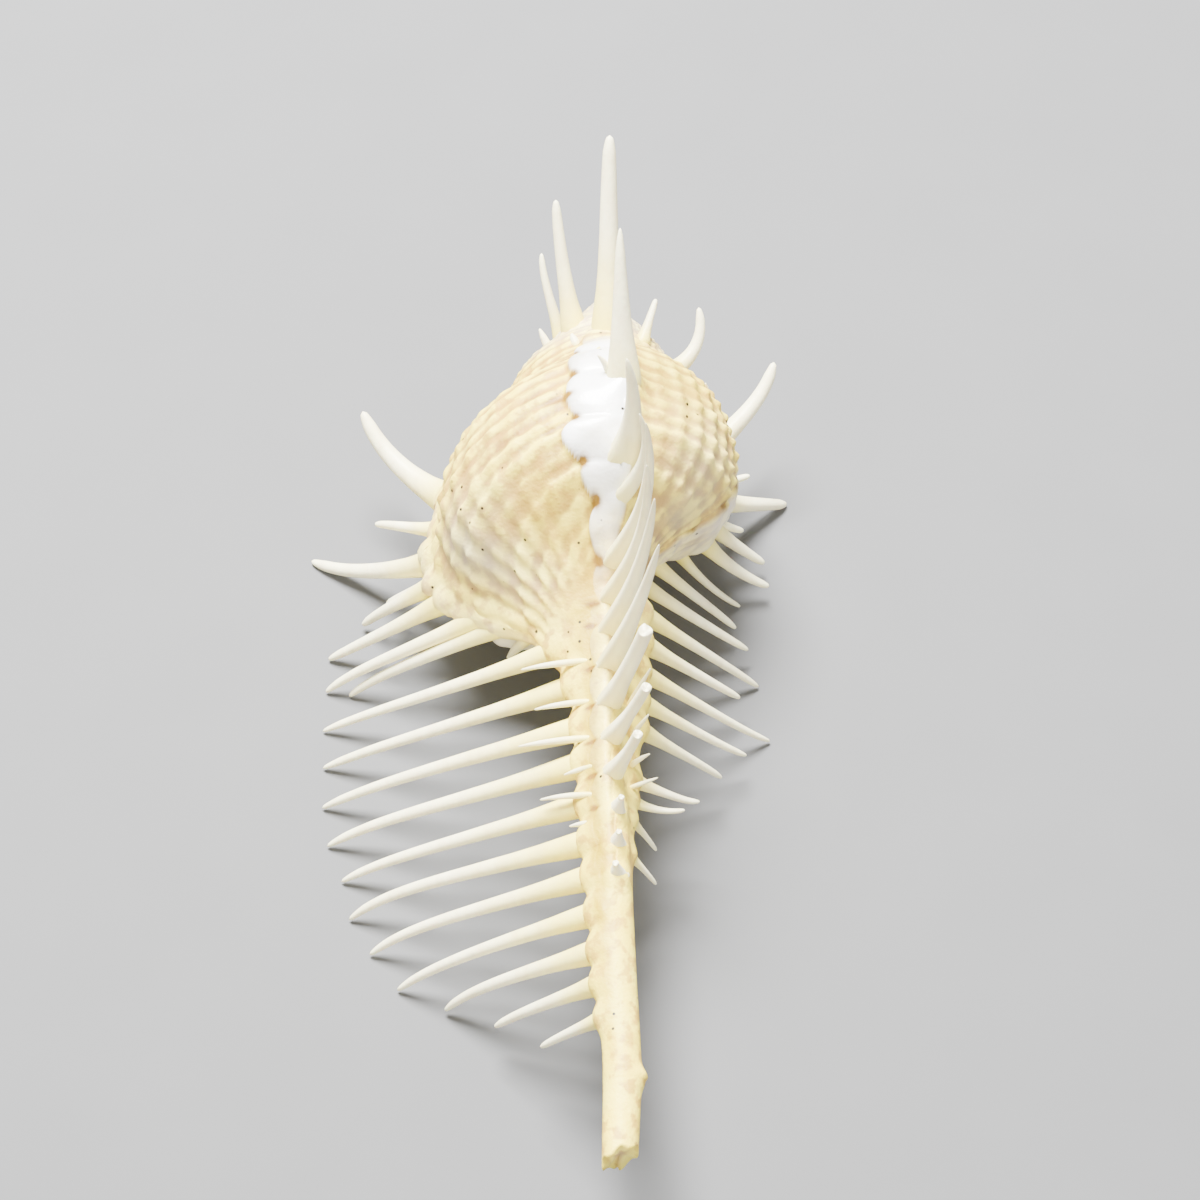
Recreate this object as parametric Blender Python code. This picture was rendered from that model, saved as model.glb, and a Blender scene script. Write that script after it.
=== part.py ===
"""Spiny murex shell, as one solid that rests on the tips of its spines.

Sizes are in millimetres and become metres at the end. The spire points to +Y, the long
canal to -Y, and +Z is up. The shell lies with its mouth down, so the ground is z = 0.
"""

import math

import bmesh
import bpy
import numpy as np

MM = 0.001

# How the shell grew
WHORL_GROWTH = 1.55      # size of each whorl over the one before it
APEX = 45.0              # station of the apex along the axis
CANAL_END = -76.0        # station of the broken end of the canal
LIP_ANGLE = 200.0        # where growth stopped, in degrees around the axis
VARIX_ANGLES = (200.0, 85.0, -38.0)   # lip row, dorsal row, right-hand row
WHORLS = 6

# How it lies
AXIS_HEIGHT = 19.3       # height of the axis over the ground at station 0
AXIS_SLOPE = 0.03
CANAL_SWING = 1.9        # how far the lower canal bends to the right

# Last whorl at the lip: distance below the apex, radius
WHORL_PROFILE = (
    (17, 10.2), (19, 12.2), (21, 14.7), (24, 17.2), (27, 18.7), (30, 19.6), (33, 20.3),
    (36, 20.7), (40, 20.5), (43, 19.4), (46, 16.8), (48, 13.8), (50, 10.8), (52.5, 8.2),
    (55, 6.4), (58, 5.0), (62, 3.8), (68, 2.6), (76, 1.2), (84, 0.3),
)
# Canal: station, radius
CANAL_PROFILE = ((-8, 3.4), (-20, 2.8), (-32, 2.5), (-45, 2.3), (-56, 2.1), (-67, 2.05), (-72, 1.9), (-76, 1.7))

# Mouth on the underside
MOUTH_DROP = 7.0         # how far the mouth's plane lies below the axis
MOUTH_CENTRE = (-10.3, 5.5)
MOUTH_HALF = (5.4, 8.6)
MOUTH_DEPTH = 11.0
RIM = 1.25

# Spines: station of the root, then the tip's x, y and height, root radius, bow.
LIP_ROW = (
    (15.8, -30.8, 29.5, 14.8, 2.2, -3.6),
    (13.0, -28.9, 15.5, 9.8, 1.1, -0.4),
    (8.2, -37.8, 16.6, 0.25, 1.9, -2.2),
    (6.6, -27.4, 8.2, 2.8, 1.0, 0.5),
    (4.6, -30.6, 5.9, 0.9, 1.4, 1.4),
    (1.2, -34.8, 0.9, 0.2, 1.6, 1.6),
    (-2.0, -34.9, -4.1, 0.2, 1.6, 1.7),
    (-4.0, -31.9, -4.7, 0.2, 1.6, 1.9),
    (-9.5, -35.0, -10.3, 0.2, 1.5, 2.6),
    (-14.7, -34.7, -15.9, 0.2, 1.4, 2.8),
    (-20.0, -34.5, -21.5, 0.2, 1.4, 2.8),
    (-25.6, -33.6, -27.2, 0.2, 1.4, 2.8),
    (-30.5, -31.6, -32.1, 0.2, 1.4, 2.6),
    (-35.3, -30.4, -37.7, 0.2, 1.4, 2.6),
    (-40.2, -27.7, -42.3, 0.2, 1.3, 2.4),
    (-44.8, -24.2, -46.8, 0.3, 1.2, 2.2),
    (-49.4, -18.4, -49.8, 0.8, 1.1, 1.8),
    (-54.0, -12.3, -54.0, 4.8, 1.0, 1.0),
    (-58.7, -6.8, -58.7, 9.1, 0.9, 0.5),
)
RIGHT_ROW = (
    (24.0, 22.7, 36.0, 16.8, 1.6, -3.6),
    (19.0, 19.4, 22.0, 11.0, 0.8, -0.3),
    (17.2, 24.7, 25.8, 0.2, 1.4, -1.0),
    (14.8, 18.6, 17.2, 6.0, 0.8, -0.5),
    (13.6, 21.4, 14.6, 2.3, 1.4, -0.9),
    (11.0, 21.9, 11.0, 2.5, 1.5, -0.8),
    (8.6, 18.2, 9.0, 0.3, 1.4, -1.8),
    (3.4, 17.4, 3.6, 3.2, 1.3, -0.6),
    (-0.8, 18.9, 0.4, 3.0, 1.3, -0.5),
    (-4.2, 20.2, -3.5, 0.2, 1.4, 0.3),
    (-8.6, 17.6, -7.6, 4.2, 1.3, -0.4),
    (-12.6, 21.4, -11.5, 0.4, 1.3, 0.3),
    (-17.0, 18.2, -16.2, 4.0, 1.2, 0.3),
    (-21.0, 15.0, -20.0, 5.2, 1.1, 0.3),
    (-28.3, 11.9, -28.3, 13.6, 1.0, -0.4),
    (-31.3, 10.0, -31.3, 16.5, 0.7, -0.5),
    (-33.6, 6.7, -33.4, 10.8, 0.7, 0.3),
    (-38.4, 6.6, -38.7, 12.0, 0.7, 0.3),
)
DORSAL_ROW = (
    (15.6, 2.4, 27.1, 53.5, 2.6, -1.2),
    (7.6, 3.1, 9.6, 50.4, 2.3, -1.0),
    (3.2, 4.6, 5.4, 45.4, 1.5, -1.4),
    (-2.0, 5.2, -2.7, 54.0, 1.7, -1.6),
    (-5.9, 5.3, -5.7, 50.0, 1.6, -1.4),
    (-10.2, 6.2, -9.8, 49.1, 1.6, -1.2),
    (-14.8, 6.7, -14.5, 46.7, 1.6, -0.9),
    (-19.8, 5.3, -19.6, 37.0, 1.7, -0.4),
    (-24.6, 5.4, -24.4, 32.5, 1.6, -0.3),
    (-29.2, 4.4, -29.1, 29.8, 1.5, -0.2),
    (-33.6, 2.7, -33.6, 23.2, 1.2, 0.0),
    (-38.1, 2.5, -38.1, 23.0, 1.2, 0.0),
    (-42.0, 1.9, -42.0, 22.9, 1.1, 0.0),
)
# Spire: angle and station of the root, then as above.
SPIRE = (
    (88, 31.4, 1.0, 46.6, 48.8, 2.1, -0.8),
    (132, 35.6, -5.6, 45.7, 38.0, 1.7, -0.4),
    (168, 36.6, -7.5, 43.6, 30.0, 1.0, -0.7),
    (-20, 32.4, 12.8, 40.5, 22.6, 1.3, -3.0),
    (-10, 37.0, 6.9, 41.8, 22.8, 1.2, -0.5),
)
# Small spines between the big ones: angle and station of the root, then as above.
SMALL = (
    (120, 18.8, -0.8, 23.4, 39.6, 0.7, 0.0),
    (176, 34.4, -7.8, 36.6, 23.6, 0.6, 0.0),
    (214, -5.0, -11.5, -5.3, 10.0, 0.8, 0.2),
    (165, -12.3, -10.2, -12.3, 18.4, 0.55, -0.2),
    (165, -17.2, -8.2, -17.3, 18.0, 0.55, -0.2),
    (165, -21.6, -10.2, -21.6, 17.6, 0.55, -0.2),
    (165, -26.6, -4.4, -26.6, 18.0, 0.5, 0.0),
    (165, -31.2, -7.4, -31.2, 17.8, 0.5, -0.2),
    (165, -34.4, -3.8, -34.4, 17.6, 0.5, 0.0),
    (5, -19.4, 6.2, -18.8, 21.4, 0.7, 0.0),
    (5, -24.6, 6.3, -23.6, 21.4, 0.6, 0.0),
    (5, -28.0, 7.2, -27.6, 20.4, 0.5, 0.0),
)
LONG_TAPER = ((0.0, 1.6), (0.08, 1.1), (0.3, 0.84), (0.6, 0.67), (0.87, 0.42), (1.0, 0.13))
SHORT_TAPER = ((0.0, 1.3), (0.2, 0.85), (0.6, 0.5), (1.0, 0.16))


def clear_scene():
    for old in list(bpy.data.objects):
        bpy.data.objects.remove(old, do_unlink=True)


def collection(name):
    made = bpy.data.collections.new(name)
    bpy.context.scene.collection.children.link(made)
    return made


def axis_x(y):
    """Sideways place of the axis: straight, then a swing to the right in the lower canal."""
    return 0.5 + CANAL_SWING / (1 + np.exp((y + 49) / 3.0))


def axis_z(y):
    return AXIS_HEIGHT + AXIS_SLOPE * y


def bump(angle, centre, width):
    """A rounded ridge along one angle, 1 on its crest."""
    away = (angle - centre + 180) % 360 - 180
    return math.exp(-((away / width) ** 2))


def whorl_radius(angle, below):
    """Radius of the coiled part: the outermost of the whorls at this angle and depth.

    The last third of the last whorl sinks a little below the shoulder before it.
    """
    xs, ys = zip(*WHORL_PROFILE)
    age = (LIP_ANGLE - angle) % 360
    reach = 0.62 * below
    if below > 1.5:
        reach = 0.0
    for whorl in range(WHORLS):
        size = WHORL_GROWTH ** (-age / 360 - whorl)
        at = below / size
        if at < xs[0]:
            continue
        radius = size * np.interp(at, xs, ys)
        if whorl == 0:
            late = min(max((130 - age) / 70, 0), 1)
            radius -= late * 2.6 * math.exp(-(((at - 22.5) / 4.2) ** 2))
        ridge = max(bump(angle, varix, 7.5) for varix in VARIX_ANGLES)
        radius += size * 1.9 * ridge * (19 < at < 52)
        reach = max(reach, radius)
    return max(reach, 0.45 * min(below, 1.5))


def canal_radius(angle, y):
    """Radius of the canal, with a ridge under each row of spines and a slit below."""
    xs, ys = zip(*CANAL_PROFILE[::-1])
    radius = np.interp(y, xs, ys)
    fade = min(max((y + 44) / 25, 0), 1)
    radius += fade * (2.4 * bump(angle, VARIX_ANGLES[2] + 8, 26) + 0.5 * bump(angle, VARIX_ANGLES[1], 14))
    radius += 0.45 * fade * bump(angle, LIP_ANGLE - 5, 20)
    return radius - 0.9 * bump(angle, 258, 7)


def shell_radius(angle, y):
    below = APEX - y
    radius = max(whorl_radius(angle, below), canal_radius(angle, y) if y < -4 else 0)
    around = angle % 360
    if LIP_ANGLE < around < 275 and 20 < below < 54:
        plane = MOUTH_DROP / -math.sin(math.radians(around))
        radius = max(radius, min(plane, whorl_radius(LIP_ANGLE, below) - 0.6))
    return radius


def place(angle, radius, y):
    """A point at this angle and radius about the axis, in the pose the shell lies in."""
    turn = math.radians(angle)
    return (radius * math.cos(turn) + axis_x(y), y, radius * math.sin(turn) + axis_z(y))


def columns():
    """Angles of the columns: closer together over each varix, and a step at the lip."""
    wanted = [v % 360 + d for v in VARIX_ANGLES for d in (-7, 0, 7)]
    wanted[wanted.index(LIP_ANGLE + 7)] = LIP_ANGLE + 2.5
    spread = [a for a in range(0, 360, 12) if min(abs(a - w) for w in wanted) > 4]
    return sorted(wanted + spread)


def stations():
    """Distances below the apex of the rows: fine on the spire, coarse on the canal."""
    spire = [1.0, 1.8, 2.8, 4.0, 5.4, 7.0, 8.6, 10.3, 12.0, 13.8, 15.6, 17.4, 19.2]
    body = [19.2 + 2.05 * i for i in range(1, 20)]
    canal = [62.5, 67.5, 73.5, 80, 87, 94, 101, 107, 112, 116, APEX - CANAL_END]
    return spire + body + canal


def skin():
    """The coiled body, the spire and the canal as one closed skin."""
    mesh = bmesh.new()
    angles = columns()
    tip = mesh.verts.new(place(0, 0, APEX))
    rings = []
    for below in stations():
        y = APEX - below
        rings.append([mesh.verts.new(place(a, shell_radius(a, y), y)) for a in angles])
    for vert, angle in zip(rings[-1], angles):
        vert.co.y += 1.1 * math.cos(math.radians(angle - 20))
    end = mesh.verts.new(place(0, 0, CANAL_END - 0.3))
    count = len(angles)
    for i in range(count):
        j = (i + 1) % count
        mesh.faces.new((tip, rings[0][j], rings[0][i]))
        mesh.faces.new((end, rings[-1][i], rings[-1][j]))
        for upper, lower in zip(rings, rings[1:]):
            mesh.faces.new((upper[i], upper[j], lower[j], lower[i]))
    bmesh.ops.triangulate(mesh, faces=mesh.faces[:], quad_method="SHORT_EDGE")
    bmesh.ops.recalc_face_normals(mesh, faces=mesh.faces[:])
    return mesh


def as_object(name, mesh, into):
    data = bpy.data.meshes.new(name)
    mesh.to_mesh(data)
    mesh.free()
    made = bpy.data.objects.new(name, data)
    into.objects.link(made)
    return made


def horn(spline, root, tip, thick, bow, taper):
    """One spine: a tapering round rod from inside the shell to the tip, bowed in its middle."""
    root, tip = np.array(root), np.array(tip)
    along = tip - root
    out = np.cross(along, (0.0, 1.0, 0.0))
    out = out / (np.linalg.norm(out) + 1e-9)
    if out[2] < 0:
        out = -out
    spline.points.add(len(taper) - 1)
    for point, (step, width) in zip(spline.points, taper):
        at = root + along * step + out * bow * 4 * step * (1 - step)
        point.co = (*at, 1.0)
        point.radius = thick * width


def spines(name, rows, taper, sides, into):
    """A row of spines as one mesh: each starts inside the shell under its root."""
    curve = bpy.data.curves.new(name, "CURVE")
    curve.dimensions = "3D"
    curve.bevel_depth = 1.0
    curve.bevel_resolution = sides
    curve.use_fill_caps = True
    for angle, y, *tip, thick, bow in rows:
        root = place(angle, max(shell_radius(angle, y) - 1.4, 0.3), y)
        horn(curve.splines.new("POLY"), root, tip, thick, bow, taper)
    drawn = bpy.data.objects.new(name + "_curve", curve)
    into.objects.link(drawn)
    graph = bpy.context.evaluated_depsgraph_get()
    data = bpy.data.meshes.new_from_object(drawn.evaluated_get(graph))
    bpy.data.objects.remove(drawn, do_unlink=True)
    made = bpy.data.objects.new(name, data)
    into.objects.link(made)
    mesh = bmesh.new()
    mesh.from_mesh(data)
    bmesh.ops.remove_doubles(mesh, verts=mesh.verts[:], dist=0.0001)
    bmesh.ops.recalc_face_normals(mesh, faces=mesh.faces[:])
    mesh.to_mesh(data)
    mesh.free()
    return made


def mouth_pocket(into):
    """The hollow of the mouth: half of an egg, cut up into the shell from below."""
    mesh = bmesh.new()
    bmesh.ops.create_uvsphere(mesh, u_segments=14, v_segments=8, radius=1.0)
    x, y = MOUTH_CENTRE
    for vert in mesh.verts:
        a, b, c = vert.co
        vert.co = (
            a * MOUTH_HALF[0] + x + axis_x(y) - 1.2 * c,
            b * MOUTH_HALF[1] + y,
            c * MOUTH_DEPTH + axis_z(y) - MOUTH_DROP,
        )
    bmesh.ops.recalc_face_normals(mesh, faces=mesh.faces[:])
    return as_object("mouth_pocket", mesh, into)


def mouth_rim(into):
    """The raised rim around the mouth, an oval ring."""
    x, y = MOUTH_CENTRE
    curve = bpy.data.curves.new("rim", "CURVE")
    curve.dimensions = "3D"
    curve.bevel_depth = RIM
    curve.bevel_resolution = 1
    spline = curve.splines.new("POLY")
    spline.use_cyclic_u = True
    spline.points.add(15)
    for i, point in enumerate(spline.points):
        turn = 2 * math.pi * i / 16
        across = (MOUTH_HALF[0] + 0.9) * math.cos(turn)
        point.co = (
            x + axis_x(y) + across,
            y + (MOUTH_HALF[1] + 0.9) * math.sin(turn),
            axis_z(y) - MOUTH_DROP - 0.25,
            1.0,
        )
    drawn = bpy.data.objects.new("rim_curve", curve)
    into.objects.link(drawn)
    graph = bpy.context.evaluated_depsgraph_get()
    data = bpy.data.meshes.new_from_object(drawn.evaluated_get(graph))
    bpy.data.objects.remove(drawn, do_unlink=True)
    made = bpy.data.objects.new("mouth_rim", data)
    into.objects.link(made)
    return made


def combine(solid, other, operation):
    """Joins or cuts, then makes the result the solid's own mesh."""
    modifier = solid.modifiers.new(other.name, "BOOLEAN")
    modifier.operation = operation
    modifier.solver = "EXACT"
    modifier.use_self = True
    modifier.object = other
    graph = bpy.context.evaluated_depsgraph_get()
    data = bpy.data.meshes.new_from_object(solid.evaluated_get(graph))
    solid.modifiers.clear()
    solid.data = data
    bpy.data.objects.remove(other, do_unlink=True)


def shell_material():
    material = bpy.data.materials.new("cream_shell")
    material.use_nodes = True
    surface = material.node_tree.nodes["Principled BSDF"]
    surface.inputs["Base Color"].default_value = (0.86, 0.80, 0.68, 1)
    surface.inputs["Roughness"].default_value = 0.42
    return material


def settle(solid):
    """Millimetres to metres, with the bounding box centred over the origin and its foot at z = 0."""
    data = solid.data
    points = np.array([v.co[:] for v in data.vertices])
    low, high = points.min(axis=0), points.max(axis=0)
    shift = np.array([(low[0] + high[0]) / 2, (low[1] + high[1]) / 2, low[2]])
    for vert, point in zip(data.vertices, (points - shift) * MM):
        vert.co = point


def main():
    clear_scene()
    parts = collection("murex_shell")
    helpers = collection("cutters")
    shell = as_object("murex_shell", skin(), parts)
    combine(shell, mouth_rim(helpers), "UNION")
    combine(shell, mouth_pocket(helpers), "DIFFERENCE")
    lip = [(198 if row[0] > -6 else 192, *row) for row in LIP_ROW]
    right = [(VARIX_ANGLES[2] + (0 if row[0] > 4 else 8), *row) for row in RIGHT_ROW]
    dorsal = [(VARIX_ANGLES[1], *row) for row in DORSAL_ROW]
    for name, rows in (("lip_spines", lip), ("right_spines", right), ("dorsal_spines", dorsal)):
        combine(shell, spines(name, rows, LONG_TAPER, 1, helpers), "UNION")
    combine(shell, spines("spire_spines", SPIRE, LONG_TAPER, 1, helpers), "UNION")
    combine(shell, spines("small_spines", SMALL, SHORT_TAPER, 0, helpers), "UNION")
    settle(shell)
    shell.data.materials.clear()
    shell.data.materials.append(shell_material())


main()
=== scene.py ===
"""A spiny murex shell lying mouth down on the tips of its spines, on a pale floor."""

import math

import bpy
import numpy as np
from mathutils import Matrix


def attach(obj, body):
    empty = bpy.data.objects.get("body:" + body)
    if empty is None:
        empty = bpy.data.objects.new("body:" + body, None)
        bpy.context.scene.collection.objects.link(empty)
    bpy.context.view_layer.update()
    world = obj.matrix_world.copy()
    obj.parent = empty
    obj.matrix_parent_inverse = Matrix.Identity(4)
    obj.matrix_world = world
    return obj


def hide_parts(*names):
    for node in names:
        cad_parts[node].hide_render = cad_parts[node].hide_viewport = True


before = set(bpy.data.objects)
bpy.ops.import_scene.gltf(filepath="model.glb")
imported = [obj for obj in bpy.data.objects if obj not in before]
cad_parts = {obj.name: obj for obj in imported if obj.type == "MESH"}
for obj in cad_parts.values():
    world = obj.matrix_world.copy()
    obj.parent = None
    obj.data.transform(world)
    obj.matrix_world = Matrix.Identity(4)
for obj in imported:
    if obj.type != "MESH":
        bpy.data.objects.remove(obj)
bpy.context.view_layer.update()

# Shell wall: the coiled whorls, the spire and the long canal, one wall of aragonite that
# the animal laid down turn by turn. Each of the three varices is a thickened old lip,
# glazed on its forward side; cords and ribs run over the rest.

MM = 0.001
CENTRE = np.array([6.546, 15.153, -0.032])  # from the shell's own axis to the floor's origin
GROWTH = 1.55                                # size of each whorl over the one before it
APEX, CANAL_END = 45.0, -76.0                # stations of the shell's two ends, in mm along it
LIP, DORSAL, RIGHT = 200.0, 85.0, -38.0      # the three varices, in degrees about the axis
FLAT = 7.0                                   # the flat round the mouth lies this far below the axis
MOUTH = (-10.3, 5.5)                         # middle of the mouth: across from the axis, station
MOUTH_HALF = (5.6, 8.8)                      # half its width and half its length
MOUTH_DEPTH = 10.5
COLUMNS = 384                                # points round the whorls, four for each on the canal
# Radius of the newest whorl at each distance below the apex
WHORL = (
    (15, 8.6), (17, 10.2), (19, 12.2), (21, 14.7), (24, 17.2), (27, 18.7), (30, 19.6), (33, 20.3),
    (36, 20.7), (40, 20.5), (43, 19.4), (46, 16.8), (48, 13.8), (50, 10.8), (52.5, 8.2), (55, 6.4),
    (58, 5.0), (62, 3.8), (68, 2.6), (76, 1.2), (84, 0.3),
)
# Radius of the canal at each station
CANAL = (
    (-76, 2.0), (-72, 2.05), (-66, 2.15), (-56, 2.15), (-45, 2.3), (-32, 2.5), (-20, 2.8), (-8, 3.4),
)
# Main cords: place on the whorl, height
CORDS = (
    (20.0, 0.3), (22.4, 0.35), (24.9, 0.45), (27.4, 0.62), (30.0, 0.36), (32.6, 0.7), (35.1, 0.28),
    (37.6, 0.64), (40.1, 0.70), (42.7, 0.26), (45.2, 0.80), (47.8, 0.5), (50.2, 0.46), (52.4, 0.36),
)
# Notches of the glazed strip on the dorsal varix: station, forward edge in degrees, and how
# far the lobe below it reaches beyond that edge
NOTCHES = (
    (30.0, 101, 2), (26.4, 102, 2.5), (22.6, 103, 2.5), (17.5, 101.5, 3.5), (10.4, 100, 7), (5.5, 98, 4),
    (2.5, 94, 6), (-2.0, 95, 8), (-6.4, 97, 14), (-9.0, 100, 18), (-14.6, 102, 22), (-19.7, 103, 24),
    (-24.5, 104, 24), (-29.0, 104, 24), (-33.2, 104, 24), (-38.0, 104, 24), (-42.5, 104, 24),
    (-47.0, 104, 20),
)
# Where the axis lies across the shell at each station of the canal
AXIS = (
    (-76, 2.2), (-70, 2.4), (-66, 2.5), (-60, 2.3), (-54, 1.95), (-48, 1.65), (-42, 1.35), (-36, 1.0),
    (-28, 0.6), (-18, 0.5),
)
# Roots of the spines in each row, around which the wall swells: angle, station, thickness
LIP_ROOTS = (
    (198, 17.1, 2.35), (198, 12.7, 1.2), (198, 8.1, 1.85), (198, 4.2, 1.4), (198, 4.8, 1.4), (198, 1.4, 1.4),
    (196, -2.6, 1.35), (196, -4.2, 1.35), (192, -9.6, 1.27), (192, -15.0, 1.35), (192, -20.8, 1.37),
    (192, -25.8, 1.4), (192, -31.2, 1.35), (192, -36.4, 1.38), (192, -41.0, 1.34), (192, -45.8, 1.28),
    (192, -50.6, 1.3), (192, -54.7, 1.22), (192, -59.0, 1.0),
)
DORSAL_ROOTS = (
    (82, 15.6, 1.15), (82, 5.3, 1.1), (82, 2.8, 0.7), (80, -2.0, 0.85), (80, -5.9, 0.85), (80, -10.2, 0.85),
    (80, -14.8, 0.85), (78, -19.8, 0.9), (76, -24.6, 0.8), (74, -29.2, 0.8), (66, -34.0, 0.85),
    (68, -38.4, 0.85), (70, -42.2, 0.8),
)
RIGHT_ROOTS = (
    (-38, 24.8, 2.0), (-38, 20.5, 1.0), (-38, 18.8, 1.8), (-38, 16.4, 1.0), (-38, 16.0, 1.36),
    (-38, 12.6, 1.33), (-38, 9.0, 0.85), (-30, 4.8, 1.1), (-30, 1.5, 1.16), (-30, -3.1, 1.09),
    (-30, -7.4, 1.13), (-30, -11.7, 1.0), (-30, -15.9, 1.0), (-30, -19.9, 1.03), (-30, -27.3, 0.87),
    (-30, -30.2, 0.7), (-30, -32.8, 0.6), (-30, -37.7, 0.6),
)


def smooth(points, width=1.1):
    """The broken line through these points, averaged over a bell of this width.

    The bell has six steps to a width and is cut off at three widths.
    """
    xs, ys = np.array(points, float).T
    fine = np.arange(xs[0] - 4 * width, xs[-1] + 4 * width, width / 6)
    kernel = np.exp(-(np.arange(-18, 19) / 6.0) ** 2)
    line = np.pad(np.interp(fine, xs, ys), 18, mode="edge")
    return lambda at: np.interp(at, fine, np.convolve(line, kernel / kernel.sum(), "valid"))


def bell(value, centre, width):
    """Exp of minus the square of the distance from the centre over the width."""
    return np.exp(-(((value - centre) / width) ** 2))


def short_way(angle, centre):
    """Degrees from the centre to the angle by the shorter way round, between -180 and 180."""
    return (angle - centre + 180) % 360 - 180


def turn_bell(angle, centre, width):
    """A bell in degrees, with the distance taken the short way round."""
    return bell(short_way(angle, centre), 0, width)


def unrolled(angle):
    """The angle between -60 and 300, so that the right side, the back and the left follow in turn."""
    return (angle + 60) % 360 - 60


def ramp(value, low, high):
    """0 below the low value, 1 above the high one and straight between them."""
    return np.clip((value - low) / (high - low), 0, 1)


axis_x = smooth(AXIS, 2.0)  # straight in the whorls, then swinging to the right along the canal


def axis_z(y):
    """Height of the axis: 19.3 at station 0, plus 0.03 for each mm towards the apex."""
    return 19.3 + 0.03 * y


def place(angle, radius, y):
    """The point at this angle and radius about the axis: a cosine across and a sine upwards."""
    turn = np.radians(angle)
    x = radius * np.cos(turn) + axis_x(y)
    return np.stack([x, y + 0 * x, radius * np.sin(turn) + axis_z(y)], axis=-1)


whorl_line, canal_line = smooth(WHORL), smooth(CANAL, 0.9)
notch_y, notch_turn, notch_reach = np.array(NOTCHES, float)[::-1].T


def scallop(y):
    """0 at each notch and 1 half way between two of them: the height of a sine to the power 0.75."""
    step = np.interp(y, notch_y, np.arange(len(notch_y)))
    return np.abs(np.sin(np.pi * step)) ** 0.75


def strip_front(y):
    """Where the glazed strip ends: a line through the notches plus each lobe's reach times the scallop."""
    above = np.clip(np.searchsorted(notch_y, y), 0, len(notch_y) - 1)
    return np.interp(y, notch_y, notch_turn) + notch_reach[above] * scallop(y)


def beading(angle):
    """How strongly ribs break the cords into beads: a ramp to each side of the glazed strip."""
    turn = unrolled(angle)
    return 0.12 + 0.75 * ramp(turn, 112, 178) + 0.8 * ramp(78 - turn, 4, 34)


def ribs(angle):
    """Low ribs along the shell, a cosine in the angle, about ten between two varices."""
    turn = unrolled(angle)
    left = np.cos(2 * np.pi * (turn - 114.5) / 10.6)
    right = np.cos(2 * np.pi * (67.5 - turn) / 9.7)
    return (0.5 + 0.5 * np.where(turn > 92, left, right)) ** 1.3


def relief(angle, at):
    """Height and shade of the cords: bells across the whorl, beaded by the ribs, over fine threads."""
    turn = unrolled(angle)
    across = at - 0.087 * np.clip(turn - 100, 0, 100) - 0.04 * np.clip(DORSAL - turn, 0, 145)
    across = across + 0.12 * np.sin(0.21 * turn + 1.3 * at)
    cord = sum(high * bell(across, centre, 0.82) for centre, high in CORDS)
    rib, beads = ribs(angle), beading(angle) + 0.4 * ramp(at, 42, 48) * (turn > 95)
    threads = 0.5 + 0.5 * np.cos(2 * np.pi * across / 0.83)
    band = ramp(at, 18.5, 20.5) * (1 - ramp(at, 52, 55))
    low = 1 - 0.3 * ramp(at, 47, 51)
    height = 0.9 * cord * (0.85 + 0.75 * beads * (rib - 0.35)) + 0.28 * beads * rib + 0.05 * threads
    shade = 1.3 * cord * (0.72 + 0.28 * rib) + 0.12 * beads * rib + 0.06 * threads
    return height * band * low, np.clip(shade, 0, 1) * band


def varix(angle, centre, front, fall):
    """A thickened old lip: it rises as a bell behind its spines and drops in a step at its front."""
    turn = short_way(angle, centre)
    back = np.exp(-((np.minimum(turn, 0) / 8.5) ** 2))
    ahead = 1 / (1 + np.exp(-(front - centre - turn) / 0.4))
    return back * ahead * (1 - fall * np.clip(turn / (front - centre), 0, 1) ** 2), ahead * (turn > -3)


def coil(angle, below):
    """Radius of the outermost whorl at this angle and distance below the apex, and its cord shade.

    Every whorl is the same profile and relief, 1.55 times as large as the one before it, and
    every varix adds its bell or its strip. A bell each lowers the shoulder of the newest
    part of the body whorl and the one above the right-hand row.
    """
    age = (LIP - angle) % 360
    y = APEX - below
    radius = 0.45 * np.minimum(below, 1.5) + 0 * angle
    ridge = np.zeros_like(radius)
    swell, glaze = varix(angle, DORSAL, strip_front(y), 0.4)
    right_swell, right_glaze = varix(angle, RIGHT, 3 + 4 * np.cos(1.35 * y), 0.72)
    lip = turn_bell(angle, LIP, 8.0) * (1 - 0.85 * ramp(-y, 0.5, 4.5))
    thick = np.maximum(np.maximum(swell, right_swell), lip)
    plain = 1 - 0.95 * np.maximum(glaze * (swell > 0.05), 0.7 * right_glaze * (right_swell > 0.05))
    puff = glaze * (scallop(y) - 0.55) * turn_bell(angle, 97, 13)
    for whorl in range(6):
        size = GROWTH ** (-age / 360 - whorl)
        at = below / size
        raised, shade = relief(angle, at)
        ends = ramp(at, 18, 20) * (1 - ramp(at, 51, 54))
        made = size * (whorl_line(at) + (1.9 * thick + 0.5 * puff) * ends + raised * plain)
        if whorl == 0:
            made = made - ramp(130 - age, 0, 70) * 2.6 * bell(at, 22.5, 4.2)
        made = np.where(at < 15.5, 0, made)
        outer = made > radius
        radius, ridge = np.where(outer, made, radius), np.where(outer, shade, ridge)
    return radius - 1.3 * bell(y, 29, 4.5) * turn_bell(angle, 22, 34), ridge


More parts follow.
